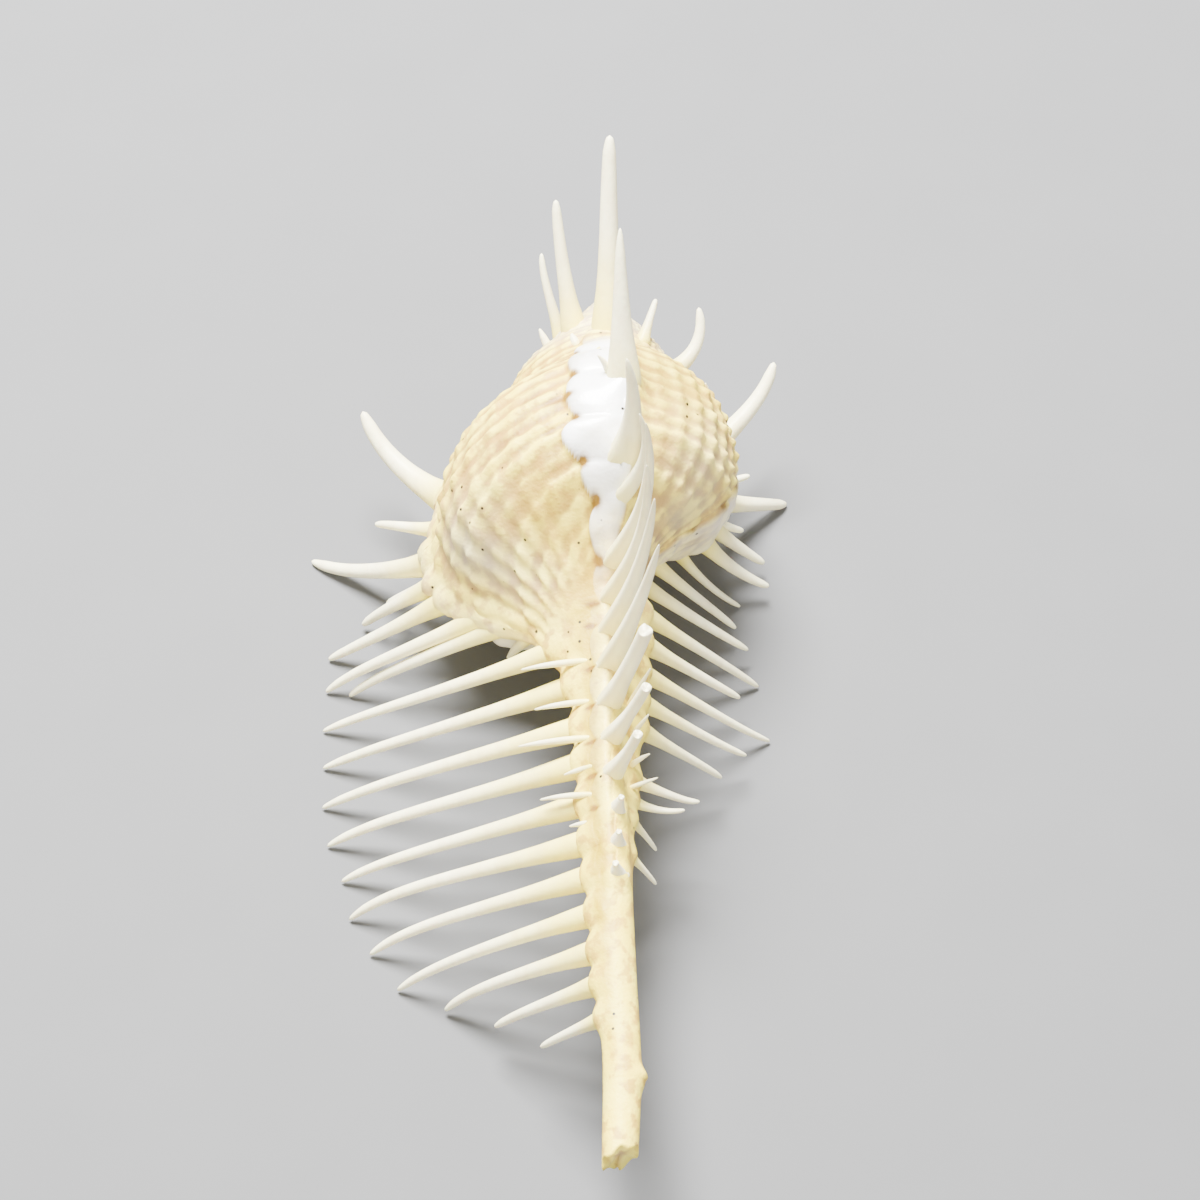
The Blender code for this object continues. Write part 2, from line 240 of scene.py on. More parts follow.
def canal_wall(angle, y):
    """Radius of the canal: its line, plus a bell under each row of spines, less one for the slit."""
    fade = ramp(y, -44, -19)
    radius = canal_line(y) + fade * (2.4 * turn_bell(angle, -30, 26) + 0.5 * turn_bell(angle, 85, 14))
    radius = radius + 0.45 * ramp(y, -62, -20) * turn_bell(angle, 192, 20)
    strip = varix(angle, DORSAL, strip_front(y), 0.4)[1] * turn_bell(angle, 96, 26) * ramp(y, -46, -34)
    radius = radius + strip * (0.1 + 0.5 * scallop(y)) + 0.3 * bell(y, -46.5, 1.2) * turn_bell(angle, 122, 22)
    radius = radius + 0.75 * bell(y, -66.8, 1.3) * turn_bell(angle, 12, 34) * np.where(y < -66.8, 0.7, 1)
    return radius - 0.9 * turn_bell(angle, 258, 6)


def wall(angle, y):
    """Radius of the outer wall, and how far a point lies on a cord.

    On the canal's side it is the larger of coil and canal, with the corner between them
    rounded: half their sum plus half the root of their squared difference. Below the axis
    it is drawn out to a flat, the distance of the plane over the sine of the angle.
    """
    below = APEX - y
    radius, ridge = coil(angle, below)
    tube = canal_wall(angle, y)
    lower = y < -2
    ridge = np.where(lower & (tube > radius), 0.8, ridge)
    radius = np.where(lower, 0.5 * (radius + tube + np.sqrt((radius - tube) ** 2 + 0.12)), radius)
    turn = angle % 360
    under = (turn > LIP) & (turn < 275) & (below > 20) & (below < 54)
    plane = (FLAT - 3.2 * ramp(-y, 0, 9)) / np.maximum(-np.sin(np.radians(turn)), 0.05)
    lip = coil(np.full_like(angle, LIP), below)[0] - 0.6
    return np.where(under, np.maximum(radius, np.minimum(plane, lip)), radius), ridge


def grid_faces(rows, columns, start=0):
    """Quads of a grid of points that closes round in its columns."""
    point = start + np.arange(rows * columns).reshape(rows, columns)
    after = np.roll(point, -1, axis=1)
    return np.stack([point[:-1], after[:-1], after[1:], point[1:]], axis=-1).reshape(-1, 4)


def fan(pole, ring):
    """Triangles from one pole to a closed ring."""
    return np.stack([np.full(len(ring), pole), ring, np.roll(ring, -1)], axis=-1)


def make_piece(name, points, faces, values, material):
    """Puts points and faces into a mesh object, with one number at each point for each value."""
    mesh = bpy.data.meshes.new(name)
    mesh.from_pydata(((points + CENTRE) * MM).tolist(), [], faces)
    for label, numbers in values.items():
        mesh.attributes.new(label, "FLOAT", "POINT").data.foreach_set("value", numbers.astype(np.float32))
    mesh.polygons.foreach_set("use_smooth", np.ones(len(mesh.polygons), bool))
    mesh.materials.append(material)
    piece = bpy.data.objects.new(name, mesh)
    bpy.context.scene.collection.objects.link(piece)
    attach(piece, "root")
    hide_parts("murex_shell")


class Value:
    """One socket of a material. Arithmetic on it adds Math nodes."""

    def __init__(self, tree, socket=None):
        self.tree, self.socket = tree, socket

    def node(self, kind, settings=None, values=None, output=0):
        """Adds a node: its settings first, then the values or links of its sockets."""
        made = self.tree.nodes.new(kind)
        for label, value in (settings or {}).items():
            setattr(made, label, value)
        for label, value in (values or {}).items():
            if isinstance(value, Value):
                self.tree.links.new(value.socket, made.inputs[label])
            else:
                made.inputs[label].default_value = value
        return Value(self.tree, made.outputs[output])

    def maths(self, operation, *values):
        return self.node("ShaderNodeMath", {"operation": operation}, dict(enumerate(values)))

    def __add__(self, other):
        return self.maths("ADD", self, other)

    def __sub__(self, other):
        return self.maths("SUBTRACT", self, other)

    def __rsub__(self, other):
        return self.maths("SUBTRACT", other, self)

    def __mul__(self, other):
        return self.maths("MULTIPLY", self, other)

    __radd__, __rmul__ = __add__, __mul__

    def range(self, low, high):
        """0 below the low value and 1 above the high one, with a soft change between them."""
        soft = {"interpolation_type": "SMOOTHSTEP"}
        return self.node("ShaderNodeMapRange", soft, {0: self, 1: low, 2: high})

    def tint(self, first, second):
        """The first colour where this is 0 and the second where it is 1."""
        return self.node("ShaderNodeMix", {"data_type": "RGBA"}, {0: self, 6: first, 7: second}, output=2)

    def own(self, label):
        """The piece's own number of this name at each point."""
        return self.node("ShaderNodeAttribute", {"attribute_name": label}, output=2)

    def noise(self, scale, detail=3.0, stretch=(1, 1, 1)):
        """Cloudy noise over the object, about 0.5 on average, its grain 1/scale metres."""
        where = self.node("ShaderNodeTexCoord", output=3)
        where = self.node("ShaderNodeMapping", None, {"Vector": where, "Scale": stretch})
        return self.node("ShaderNodeTexNoise", None, {"Vector": where, "Scale": scale, "Detail": detail})

    def specks(self, scale, size, share):
        """Small round dots, one in some of the cells of a random net."""
        where = self.node("ShaderNodeTexCoord", output=3)
        near = self.node("ShaderNodeTexVoronoi", None, {"Vector": where, "Scale": scale})
        colour = self.node("ShaderNodeTexVoronoi", None, {"Vector": where, "Scale": scale}, output=1)
        pick = self.node("ShaderNodeSeparateColor", None, {0: colour})
        return (1 - near.range(0.6 * size, size)) * (1 - pick.range(share, share + 0.02))


def finish_of(name, fixed):
    """A new material, with the constants of its surface set on the surface's own sockets."""
    material = bpy.data.materials.new(name)
    material.use_nodes = True
    surface = material.node_tree.nodes["Principled BSDF"]
    for label, value in fixed.items():
        surface.inputs[label].default_value = value
    return material, Value(material.node_tree), surface


def feed(material, surface, values):
    """Links each of these values to the surface's socket of that name."""
    for label, value in values.items():
        material.node_tree.links.new(value.socket, surface.inputs[label])


def wall_mesh():
    """The wall on a grid of angle and station, with a quarter of the columns on the canal.

    Round each root the wall is raised along its normal by a bell of the distance over the
    wall. The flat below the axis is drawn up into a hollow for the mouth, the upper half of
    an egg, and the canal's end is broken off on a slant.
    """
    roots = np.array(LIP_ROOTS + DORSAL_ROOTS + RIGHT_ROOTS, float)
    few = COLUMNS // 4
    fine = LIP + np.arange(COLUMNS) * (360 / COLUMNS)
    below = np.concatenate([np.arange(0.45, 12, 0.36), np.arange(12, 57.9, 0.262)])
    lower = APEX - np.arange(58.1, APEX - CANAL_END + 0.01, 0.40)
    sheets = []
    for angles, y in ((fine, APEX - below), (fine[::4], lower)):
        angle, station = np.meshgrid(angles, y)
        radius, ridge = wall(angle, station)
        arc = np.radians(short_way(angle[..., None], roots[:, 0])) * radius[..., None]
        away = np.hypot(arc, station[..., None] - roots[:, 1]) / (1.3 * roots[:, 2] + 0.5)
        swell = (np.minimum(0.95 * roots[:, 2], 1.7) * np.exp(-(away ** 2))).max(axis=-1)
        sheet = place(angle, radius, station)
        around = np.roll(sheet, -1, axis=1) - np.roll(sheet, 1, axis=1)
        outward = np.cross(around, np.gradient(sheet, axis=0))
        outward /= np.linalg.norm(outward, axis=-1, keepdims=True) + 1e-9
        sheet = sheet + outward * swell[..., None]
        sheets.append((sheet, angle, station, ridge, radius, swell))
    point, angle = sheets[0][0], sheets[0][1] % 360
    x = (point[..., 0] - MOUTH[0] - axis_x(point[..., 1])) / MOUTH_HALF[0]
    y = (point[..., 1] - MOUTH[1]) / MOUTH_HALF[1]
    hollow = np.sqrt(np.clip(1 - x ** 2 - y ** 2, 0, 1)) * ((angle > LIP) & (angle < 290))
    point[..., 2] += MOUTH_DEPTH * hollow
    point[..., 0] -= 1.2 * hollow
    end, end_turn, end_y = sheets[1][:3]
    slant = 0.9 * np.cos(np.radians(end_turn - 15)) + 0.3 * np.sin(5 * np.radians(end_turn)) - 0.2
    end[..., 1] += ramp(-end_y, -CANAL_END - 3, -CANAL_END) * slant
    rows = [len(sheet[0]) for sheet in sheets]
    start = rows[0] * COLUMNS
    total = start + rows[1] * few
    poles = place(np.zeros(2), np.zeros(2), np.array([APEX + 0.1, CANAL_END + 0.5]))
    upper = start - COLUMNS + np.arange(COLUMNS).reshape(few, 4)
    after = np.roll(upper[:, 0], -1)
    coarse = start + np.arange(few)
    beyond = np.roll(coarse, -1)
    a, b, c, d = upper.T
    joint = np.concatenate([
        np.stack(corner, axis=-1)
        for corner in (
            (a, b, coarse), (b, c, coarse), (coarse, c, beyond), (c, d, beyond), (d, after, beyond),
        )
    ])
    quads = np.concatenate([grid_faces(rows[0], COLUMNS), grid_faces(rows[1], few, start)])
    apex, tip = fan(total, np.arange(COLUMNS)), fan(total + 1, total - few + np.arange(few))
    triangles = np.concatenate([joint, apex[:, ::-1], tip])
    points = np.concatenate([sheet[0].reshape(-1, 3) for sheet in sheets] + [poles])
    numbers = [np.concatenate([sheet[i].reshape(-1) for sheet in sheets] + [[0, 0]]) for i in range(1, 6)]
    return points, quads.tolist() + triangles.tolist(), numbers


points, faces, (angles, stations, ridge, radii, swell) = wall_mesh()
turn = unrolled(angles)
front = strip_front(stations)
# The canal and the roots of spines are as pale as the cords, but for a darker seam down the canal
seam = bell(turn, 119, 10) * ramp(-stations, 5, 10) * ramp(stations, -66, -52)
ridge = np.clip(ridge + ramp(-stations, 4, 9) + ramp(swell, 0.1, 1.0) - 0.8 * seam, 0, 1)
# The glaze covers the strip, the inner lip and part of the right-hand varix; painted light and wear are white
# too
strip = ramp(turn, 78, 81) * (turn < front) * np.clip((front - turn) / 0.8, 0, 1)
strip = strip * ramp(28.5 - stations, 0, 4)
inner_lip = turn_bell(angles, LIP + 9, 10) * (stations < 24) * (stations > -8)
right_strip = ramp(turn, -50, -40) * (1 - ramp(turn, -2, 4)) * bell(stations, 11, 10)
# Painted light: a white patch lifts the right flank and one the low left side; the spire's tip is whiter by
# wear
wear_and_painted_light = 0.17 * bell(turn, 34, 30) * bell(stations, 7, 9) + 0.13 * bell(turn, 160, 26) * bell(stations, 0, 8)
wear_and_painted_light = wear_and_painted_light + 0.3 * ramp(stations, 28, 32)
glaze = strip * (0.12 + 0.88 * ramp(stations, -4, 3)) * ramp(stations, -38, -20)
glaze = glaze + 0.7 * inner_lip + 0.5 * right_strip + wear_and_painted_light
# Brown stains sit in the notches; on the canal painted shadows of its cross ridges trail brown stains towards
# its end
notch = notch_y[np.abs(stations[:, None] - notch_y).argmin(axis=1)]
beside = np.radians(turn - np.interp(notch, notch_y, notch_turn)) * radii
spots_and_edge_shadow = np.exp(-((beside - 0.1) / 0.75) ** 2 - ((stations - notch) / 0.68) ** 2)
spots_and_edge_shadow = spots_and_edge_shadow * (stations > -4) * (stations < 25)
spots_and_edge_shadow = spots_and_edge_shadow + bell(stations, 13.7, 0.6) * bell(front, turn, 4.0)
# Painted shadow: a thin dark line under the stepped edge of the glazed strip
spots_and_edge_shadow = spots_and_edge_shadow + 0.22 * bell(front, turn, 0.9) * ramp(stations, -5, 0) * (stations < 27)
past = notch - stations
trail = 0.42 * (past > 0) * np.exp(-np.clip(past, 0, 9) / 1.7)
# Each cross line is painted shadow under a cross ridge of the canal; the trail below it is a stain
ridge_shadows_and_trails = bell(beside, 0.9, 1.0) * (0.7 * bell(past, 0.1, 0.45) + trail)
ridge_shadows_and_trails = ridge_shadows_and_trails * (stations < -4) * ramp(stations, -42, -34)
right_spots = bell(stations, 13.4, 0.6) + bell(stations, 10.4, 0.6) + bell(stations, 7.2, 0.7)
stains_and_painted_shadow = spots_and_edge_shadow + ridge_shadows_and_trails + 0.8 * (turn_bell(turn, 5, 6) * right_spots)
# Yellow lies in four soft patches and in a band along the canal, grey low on the left and
# olive low on the right
canal_band = (0.8 + 0.6 * scallop(stations)) * bell(turn, 124, 21) * ramp(-stations, 3, 10)
canal_band = canal_band * (1 - 0.35 * ramp(-stations, 45, 60)) * ramp(stations, -70, -60)
yellow = (
    0.6 * bell(turn, 103, 11) * bell(stations, -3, 5) + 0.5 * bell(turn, 62, 12) * bell(stations, 20.5, 5)
    + 0.35 * bell(turn, 40, 26) * bell(stations, 17, 9) + 0.35 * bell(turn, 122, 20) * bell(stations, 1, 6)
    + canal_band
)
grey = bell(turn, 168, 13) * bell(stations, 1.5, 4.0)
olive = bell(turn, 29, 13) * bell(stations, 5.2 + 0.06 * (29 - turn), 1.3)

shell_finish, paint, surface = finish_of("cream_shell", {
    "IOR": 1.5, "Coat Roughness": 0.12, "Subsurface Weight": 0.04, "Subsurface Scale": 0.0015,
})
cloud = paint.noise(190.0)
grain = paint.noise(1100.0, 4.0)
blush = paint.noise(95.0, 2.0).range(0.38, 0.62)
pale = cloud.range(0.3, 0.7).tint((0.97, 0.80, 0.10, 1), (0.95, 0.72, 0.05, 1))
tan = blush.tint((0.31, 0.165, 0.022, 1), (0.47, 0.28, 0.034, 1))
mottle = paint.noise(420.0, 4.0)
# Pale cords over tan furrows, orange clouds, patches, the glaze and painted light, stains and painted shadow
# lines, specks
colour = (1.3 * paint.own("ridge") + 0.9 * mottle + 0.3 * grain - 0.7).range(-0.05, 0.62).tint(tan, pale)
colour = (0.7 * (paint.noise(560.0, 3.0) + 0.3 * cloud).range(0.62, 0.78)).tint(colour, (0.50, 0.28, 0.04, 1))
colour = (paint.own("yellow") * (0.3 + 1.2 * cloud)).tint(colour, (0.52, 0.36, 0.001, 1))
colour = (paint.own("grey") * (0.3 + 0.6 * cloud)).tint(colour, (0.36, 0.31, 0.22, 1))
colour = (paint.own("olive") * (0.2 + 0.9 * grain)).tint(colour, (0.34, 0.26, 0.07, 1))
# The glaze number also carries the patches of painted light, which it whitens like the glaze
glaze_and_painted_light = paint.own("glaze")
white = cloud.range(0.42, 0.72).tint((0.95, 0.94, 0.91, 1), (0.66, 0.63, 0.54, 1))
colour = glaze_and_painted_light.tint(colour, white)
# Brown stains, and the painted shadow lines along the strip's edge and under the canal's cross ridges
colour = (paint.own("stains_and_painted_shadow") * (0.45 + 1.1 * grain)).range(0.03, 0.85).tint(colour, (0.22, 0.11, 0.001, 1))
colour = paint.specks(760.0, 0.19, 0.14).tint(colour, (0.014, 0.009, 0.005, 1))
rough = glaze_and_painted_light.node("ShaderNodeMapRange", None, {0: glaze_and_painted_light, 3: 0.5, 4: 0.28}) + 0.12 * grain
grit = 1.6 * paint.noise(330.0, 3.0) + 0.6 * paint.noise(900.0, 4.0) + 0.3 * paint.noise(2600.0, 2.0)
bump = paint.node(
    "ShaderNodeBump", None, {"Height": grit * (1 - 0.5 * glaze_and_painted_light), "Strength": 0.5, "Distance": 0.00035},
)
feed(shell_finish, surface, {
    "Base Color": colour, "Roughness": rough, "Coat Weight": 0.45 * glaze_and_painted_light, "Normal": bump,
})
wall_values = {
    "ridge": ridge, "glaze": np.clip(glaze, 0, 1), "stains_and_painted_shadow": np.clip(stains_and_painted_shadow, 0, 1),
    "yellow": np.clip(yellow, 0, 1), "grey": grey, "olive": olive,
}
make_piece("shell_wall", points, faces, wall_values, shell_finish)

# Mouth rim: the raised ring around the oval mouth on the underside. It is the same wall,
# laid down thick and glazed by the animal, and it is pleated on the side of the lip.

RIM_HALF = (6.3, 9.5)           # half sizes of the oval through the middle of the ring
RIM_THICK = 1.2                 # radius of its section
RIM_STEPS, RIM_SIDES = 120, 16
PLEATS = 16


def ring(centre, half, thick, steps, sides):
    """A round section carried along an oval, its radius a cosine of the turn on the lip's side."""
    turn = np.linspace(0, 2 * np.pi, steps, endpoint=False)[:, None]
    round_it = np.arange(sides)[None] * 2 * np.pi / sides
    radius = thick * (1 + 0.10 * np.cos(PLEATS * turn) * (np.cos(turn) < 0))
    out = radius * np.cos(round_it)
    x = centre[0] + (half[0] + out) * np.cos(turn)
    y = centre[1] + (half[1] + out) * np.sin(turn)
    z = axis_z(y) - FLAT - 0.25 + radius * np.sin(round_it)
    return np.stack([x + axis_x(y), y, z], axis=-1).reshape(-1, 3)


rim_points = ring(MOUTH, RIM_HALF, RIM_THICK, RIM_STEPS, RIM_SIDES)
number = np.arange(RIM_STEPS * RIM_SIDES).reshape(RIM_STEPS, RIM_SIDES)
ahead, beside = np.roll(number, -1, axis=0), np.roll(number, -1, axis=1)
rim_faces = np.stack([number, ahead, np.roll(ahead, -1, axis=1), beside], axis=-1).reshape(-1, 4)
level = np.full(len(rim_points), 0.8)
rim_values = {"ridge": level, "glaze": level}
rim_values.update((label, 0 * level) for label in ("stains_and_painted_shadow", "yellow", "grey", "olive"))
make_piece("mouth_rim", rim_points, rim_faces.tolist(), rim_values, shell_finish)

# Lip row: the longest spines, down the left side. They are tubes of the same aragonite,
# left open on the forward side as they grew, and most of their bent tips stand on the floor.

SUNK = 8  # rings of each spine that lie inside the wall
# Taper of a long spine: its radius over its thickness, at each share of its length
LONG = smooth((
    (0, 1.2), (0.03, 1.15), (0.1, 1.02), (0.2, 0.83), (0.3, 0.71), (0.5, 0.58), (0.8, 0.45), (0.92, 0.38),
    (0.97, 0.27), (1, 0.15),
), 0.012)
# Tip of each spine, bow, bend near the tip
LIP_TIPS = (
    (-30.8, 30.0, 14.8, -2.14, -1.01), (-28.9, 15.5, 9.8, -0.2, 0.16), (-37.8, 16.4, 0.45, -1.35, -0.8),
    (-27.4, 7.8, 2.8, 0.04, 0.1), (-30.6, 5.9, 0.9, 0.13, 0.21), (-34.8, 0.9, 0.36, -0.18, 0.07),
    (-34.9, -4.1, 0.36, 0.0, 0.6), (-31.9, -4.7, 0.36, 0.0, 0.6), (-35.0, -10.0, 0.36, -0.34, 0.32),
    (-34.7, -15.5, 0.36, 0.0, 0.33), (-34.5, -21.3, 0.36, 0.45, 0.4), (-33.6, -26.8, 0.36, -0.09, 0.81),
    (-31.6, -31.8, 0.36, -0.03, 0.66), (-30.4, -37.1, 0.36, 0.06, 1.26), (-27.7, -41.9, 0.36, 0.22, 0.99),
    (-24.2, -46.7, 0.36, 0.8, 0.53), (-18.4, -49.6, 0.8, 0.52, 0.64), (-12.3, -53.8, 4.8, 0.22, 0.19),
    (-6.8, -58.6, 9.1, 0.17, 0.04),
)


def horn(root, foot, tip, thick, bow, bend, flat, blunt, rings, sides, taper=LONG, groove=0.1):
    """One spine: an oval section carried along a bowed path, closed in a round or broken tip.

    The path runs from the root inside the wall to the foot on it, then along the straight
    line to the tip, plus a parabola for the bow and, for the bend, a line less a seventh
    power, which turns mostly the last quarter. The radius is the taper times the thickness,
    wider near the foot by the flatness, with a shallow groove on the forward side. The
    rings stand closer towards the tip.
    """
    step = 1 - (1 - np.linspace(0, 1, rings - SUNK)) ** 1.2
    step = step - 0.012 * np.sin(np.pi * step)
    along = tip - foot
    forward = np.cross(along, (0.0, 1.0, 0.0))
    forward /= np.linalg.norm(forward)
    out = forward if forward[2] > 0 else -forward
    bent = (out + np.array([0.0, 1.0, 0.0])) / math.sqrt(2)
    s = step[:, None]
    path = foot + along * s + out * bow * 4 * s * (1 - s) + bent * bend * (s - s ** 7) / 0.62
    inside = np.arange(SUNK)[:, None] / SUNK
    path = np.concatenate([path[0] + (root - foot) * (1 - inside), path])
    step = np.concatenate([np.zeros(SUNK), step])
    radius = np.maximum(thick * taper(step), blunt * (1 - 0.15 * step) * (step > 0.05))
    radius[:SUNK] *= 0.15 + 0.85 * np.sin(0.5 * np.pi * inside[:, 0]) ** 0.8
    cap = np.sqrt(np.clip(1 - ((step - 0.985) / 0.015).clip(0, 1) ** 2, 0.02, 1))
    radius = radius * np.where(blunt > 0, 0.75 + 0.25 * cap, cap)
    run = np.gradient(path, axis=0)
    run /= np.linalg.norm(run, axis=1, keepdims=True)
    thin = np.cross(run, forward)
    thin /= np.linalg.norm(thin, axis=1, keepdims=True)
    wide = np.cross(thin, run)
    turn = np.arange(sides) * 2 * np.pi / sides
    near_root = (1 - step[:, None]) ** 2
    across = radius[:, None] * (1 + flat * near_root) * np.cos(turn)
    through = radius[:, None] * (1 - 0.25 * flat * near_root) * np.sin(turn)
    away = (turn + np.pi) % (2 * np.pi) - np.pi
    cut = 1 - groove * np.exp(-(away ** 2) / 0.12) * ramp(1 - step[:, None], 0.1, 0.6)
    point = path[:, None] + wide[:, None] * (across * cut)[..., None]
    point = point + thin[:, None] * (through * cut)[..., None]
    if blunt:  # a break is uneven, a cosine twice round it
        point[-1] += run[-1] * (0.45 * blunt * np.cos(2 * turn + thick * 9))[:, None]
    dip = -0.3 * blunt if blunt else 0.25 * radius[-1]
    ends = np.stack([path[0] - run[0] * 0.2, path[-1] + run[-1] * dip])
    return np.concatenate([point.reshape(-1, 3), ends]), np.append(np.repeat(step, sides), [0, 1])


def row_of_spines(name, roots, tips, material, rings=52, sides=20, pale=0.0, **shape):
    """A row of spines as one mesh. Each starts inside the wall under its root.

    A tip is its point, the bow and, where they aren't 0, the bend, flatness and broken end.
    A pale row has less of the yellow that the others have at their roots.
    """
    points, steps, quads, triangles = [], [], [], []
    for i, ((angle, y, thick), (x1, y1, z1, bow, *more)) in enumerate(zip(roots, tips)):
        at = np.array([float(angle)]), np.array([float(y)])
        corner, beside, below = (
            place(a, wall(a, s)[0], s)[0] for a, s in (at, (at[0] - 2, at[1]), (at[0], at[1] - 0.5))
        )
        inward = np.cross(beside - corner, below - corner)
        inward /= np.linalg.norm(inward)
        inward *= np.sign(inward @ (place(at[0], np.zeros(1), at[1])[0] - corner))
        foot = corner + inward * 0.6 * thick
        root = foot + inward * min(2.6 * thick, 0.8 * wall(*at)[0][0])
        bend, flat, blunt = (more + [0, 0, 0])[:3]
        tip = np.array([x1, y1, z1])
        point, step = horn(root, foot, tip, thick, bow, bend, flat, blunt, rings, sides, **shape)
        start = i * (rings * sides + 2)
        last = start + (rings - 1) * sides
        points.append(point)
        steps.append(step)
        quads.append(grid_faces(rings, sides, start)[:, ::-1])
        triangles.append(fan(start + rings * sides, start + np.arange(sides)))
        triangles.append(fan(start + rings * sides + 1, last + np.arange(sides))[:, ::-1])
    faces = np.concatenate(quads).tolist() + np.concatenate(triangles).tolist()
    values = {"along": pale + (1 - pale) * np.concatenate(steps)}
    make_piece(name, np.concatenate(points), faces, values, material)


spine_finish, paint, surface = finish_of("white_spine", {
    "IOR": 1.5, "Subsurface Weight": 0.06, "Subsurface Scale": 0.002,
})
along = paint.own("along")
cloud = paint.noise(260.0)
base = (along + 0.25 * cloud).range(0.08, 0.75)
colour = base.tint((0.96, 0.82, 0.14, 1), (0.97, 0.91, 0.60, 1))
streak = paint.noise(900.0, 4.0, (1, 0.35, 0.35)).range(0.35, 0.75)
colour = (0.2 * streak).tint(colour, (0.55, 0.40, 0.20, 1))
rough = 0.34 + 0.16 * cloud
bump = paint.node(
    "ShaderNodeBump", None, {"Height": paint.noise(1500.0, 3.0), "Strength": 0.25, "Distance": 0.0002},
)
feed(spine_finish, surface, {"Base Color": colour, "Roughness": rough, "Normal": bump})
row_of_spines("lip_spines", LIP_ROOTS, LIP_TIPS, spine_finish)

# Right-hand row: shorter spines of the oldest of the three varices, grown the same way.
# Some of them also stand on the floor, and small ones stand between them near the shoulder.

RIGHT_TIPS = (
    (22.7, 36.6, 16.8, -0.99, -0.98), (19.4, 22.4, 11.0, 0.0, 0.1), (24.7, 25.8, 0.3, -0.3, 0.0),
    (18.6, 17.3, 6.0, -0.06, -0.1), (21.4, 14.7, 2.3, -0.28, 0.0), (21.9, 10.9, 2.5, -0.81, -0.14),
    (18.2, 9.2, 0.36, -0.65, -0.13), (17.4, 3.8, 3.2, -0.18, 0.13), (18.9, 0.6, 3.0, -0.26, 0.0),
    (20.2, -3.3, 0.36, 0.0, 0.07), (17.6, -7.5, 4.2, -0.06, 0.0), (21.4, -11.5, 0.4, 0.07, -0.3),
    (18.2, -15.9, 4.0, -0.07, -0.17), (15.0, -19.9, 5.2, -0.1, 0.12), (11.9, -28.4, 13.6, -0.16, -0.29),
    (10.0, -31.3, 16.5, -0.88, -0.07), (6.7, -33.5, 10.8, 0.08, 0.04), (6.6, -38.8, 12.0, 0.1, 0.01),
)
row_of_spines("right_spines", RIGHT_ROOTS, RIGHT_TIPS, spine_finish)

# Dorsal row: upright blades of the same aragonite along the back, spread at the root where
# each grew out of the glazed strip. Six of them have lost their tips.

BLADE = smooth((
    (0, 1.3), (0.03, 1.35), (0.1, 1.32), (0.17, 1.24), (0.29, 1.08), (0.44, 0.92), (0.6, 0.78), (0.84, 0.52),
    (0.95, 0.3), (1, 0.1),
), 0.012)
DORSAL_TIPS = (
    (2.4, 27.1, 53.5, -0.1, 0, 0.5), (3.1, 9.6, 50.4, -1.05, 0, 0.6), (4.6, 5.4, 45.4, -1.9, 0, 0.4),
    (5.2, -2.7, 53.9, -2.0, 0, 0.45), (5.3, -5.7, 50.0, -1.6, 0, 0.45), (6.2, -9.8, 49.1, -0.9, 0, 0.45),
    (6.7, -14.5, 46.7, -0.5, 0, 0.45), (5.3, -19.6, 37.0, -0.2, 0, 0.4, 1.0),
    (5.4, -24.4, 32.5, -0.2, 0, 0.4, 0.75), (4.4, -29.1, 29.8, -0.2, 0, 0.4, 0.7),
    (2.5, -33.6, 23.3, 0.0, 0, 0.4, 0.42), (2.2, -38.0, 22.9, 0.0, 0, 0.4, 0.42),
    (1.8, -41.9, 22.4, 0.0, 0, 0.4, 0.45),
)
row_of_spines("dorsal_spines", DORSAL_ROOTS, DORSAL_TIPS, spine_finish, taper=BLADE, groove=0.16, pale=0.25)

# Spire spines: what is left of the same three rows on the older whorls, hollow tubes of
# aragonite that grew when the shell was smaller.

SPIRE_ROOTS = ((86, 31.4, 2.15), (131, 35.6, 1.52), (168, 36.6, 1.0), (-14, 33.6, 1.5), (58, 30.6, 0.9))
SPIRE_TIPS = (
    (1.2, 46.6, 48.8, 0.1), (-5.6, 45.7, 38.0, -0.24, -0.06), (-7.5, 43.8, 30.0, -0.11, -0.32),
    (12.8, 41.0, 22.6, -1.6, -0.87), (7.1, 35.7, 30.5, 0.0),
)
row_of_spines("spire_spines", SPIRE_ROOTS, SPIRE_TIPS, spine_finish)

# Small spines: thin prickles between the big ones and on both sides of the canal, of the
# same aragonite, each sunk in the wall that carries it.

THORN = smooth(((0, 0.5), (0.15, 0.58), (0.4, 0.55), (0.7, 0.42), (1, 0.14)), 0.02)
SMALL_ROOTS = (
    (88, 16.6, 0.8), (93, 21.8, 0.7), (108, 28.0, 1.1), (170, 34.4, 1.0), (196, -6.4, 1.3),
    (120, -13.4, 0.75), (122, -18.9, 0.7), (124, -23.8, 0.75), (120, -27.9, 0.6), (125, -31.7, 0.7),
    (122, -35.2, 0.65), (20, 24.2, 0.6), (10, -18.6, 0.6), (0, -22.4, 0.55), (0, -26.6, 0.6),
    (0, -29.4, 0.5),
)
SMALL_TIPS = (
    (-0.3, 17.4, 41.6, 0.3), (0.7, 25.4, 34.5, 0.0), (-3.6, 29.6, 31.0, 0.0), (-7.8, 36.6, 23.6, 0.0),
    (-11.5, -5.3, 10.0, 0.2), (-9.6, -12.7, 18.4, 0.3), (-7.9, -18.3, 18.2, 0.3), (-9.8, -23.3, 17.8, 0.3),
    (-4.3, -27.4, 18.0, 0.1), (-7.1, -30.7, 17.8, 0.3), (-3.6, -34.2, 17.6, 0.1), (13.2, 24.4, 27.6, 0.0),
    (6.0, -17.5, 26.0, 0.0), (5.8, -21.4, 22.0, 0.0), (5.9, -26.3, 21.0, 0.2), (6.8, -29.3, 20.5, 0.0),
)
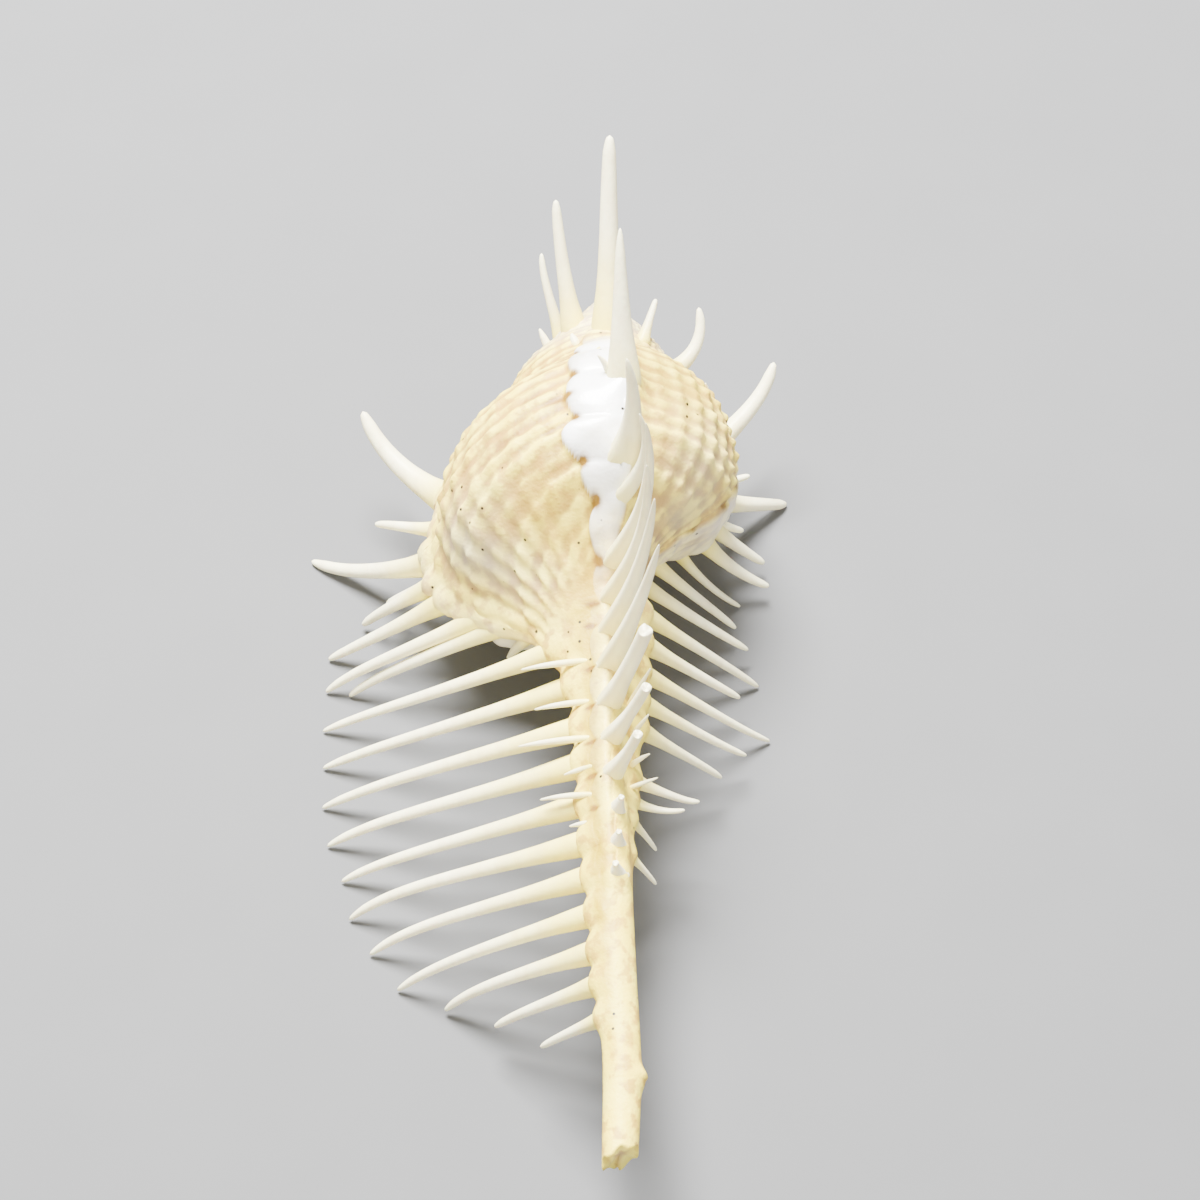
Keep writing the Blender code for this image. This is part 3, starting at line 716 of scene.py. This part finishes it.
row_of_spines(
    "small_spines", SMALL_ROOTS, SMALL_TIPS, spine_finish, rings=28, sides=14, taper=THORN, groove=0.0
)

# Floor, light and camera: a plain sheet under the shell, a soft light above and behind it,
# a weak one in front, and a long lens 385 mm away that looks down at 55 degrees.

REACH = 1.5             # metres from the middle of the floor to each side
AIM = (0.0, 0.0, 0.02)  # the point that both lights face

corners = [(-REACH, -REACH, 0), (REACH, -REACH, 0), (REACH, REACH, 0), (-REACH, REACH, 0)]
floor_mesh = bpy.data.meshes.new("floor")
floor_mesh.from_pydata(corners, [], [(0, 1, 2, 3)])
floor = bpy.data.objects.new("floor", floor_mesh)
bpy.context.scene.collection.objects.link(floor)
floor_finish, paint, surface = finish_of("pale_floor", {"Roughness": 0.85})
colour = paint.noise(60.0).tint((0.112, 0.113, 0.114, 1), (0.124, 0.125, 0.126, 1))
feed(floor_finish, surface, {"Base Color": colour})
floor_mesh.materials.append(floor_finish)

for label, place_at, size, power in (
    ("sky", (-0.09, 0.25, 0.54), 0.30, 36.0), ("fill", (0.15, -0.55, 0.45), 0.5, 3.0),
):
    lamp = bpy.data.lights.new(label, "AREA")
    lamp.shape, lamp.size, lamp.energy = "DISK", size, power
    light = bpy.data.objects.new(label, lamp)
    light.location = place_at
    x, y, z = np.array(place_at) - np.array(AIM)
    light.rotation_euler = (math.atan2(math.hypot(x, y), z), 0, math.atan2(x, -y))
    bpy.context.scene.collection.objects.link(light)
world = bpy.data.worlds.new("room")
world.use_nodes = True
world.node_tree.nodes["Background"].inputs["Color"].default_value = (1.0, 0.98, 0.95, 1)
world.node_tree.nodes["Background"].inputs["Strength"].default_value = 1.0
bpy.context.scene.world = world

camera_data = bpy.data.cameras.new("camera")
camera_data.lens, camera_data.sensor_width = 93.0, 36.0
camera_data.clip_start, camera_data.clip_end = 0.01, 10.0
camera = bpy.data.objects.new("camera", camera_data)
camera.location = (0.006546, -0.205675, 0.330341)
camera.rotation_euler = (math.radians(35), 0, 0)
bpy.context.scene.collection.objects.link(camera)
bpy.context.scene.camera = camera
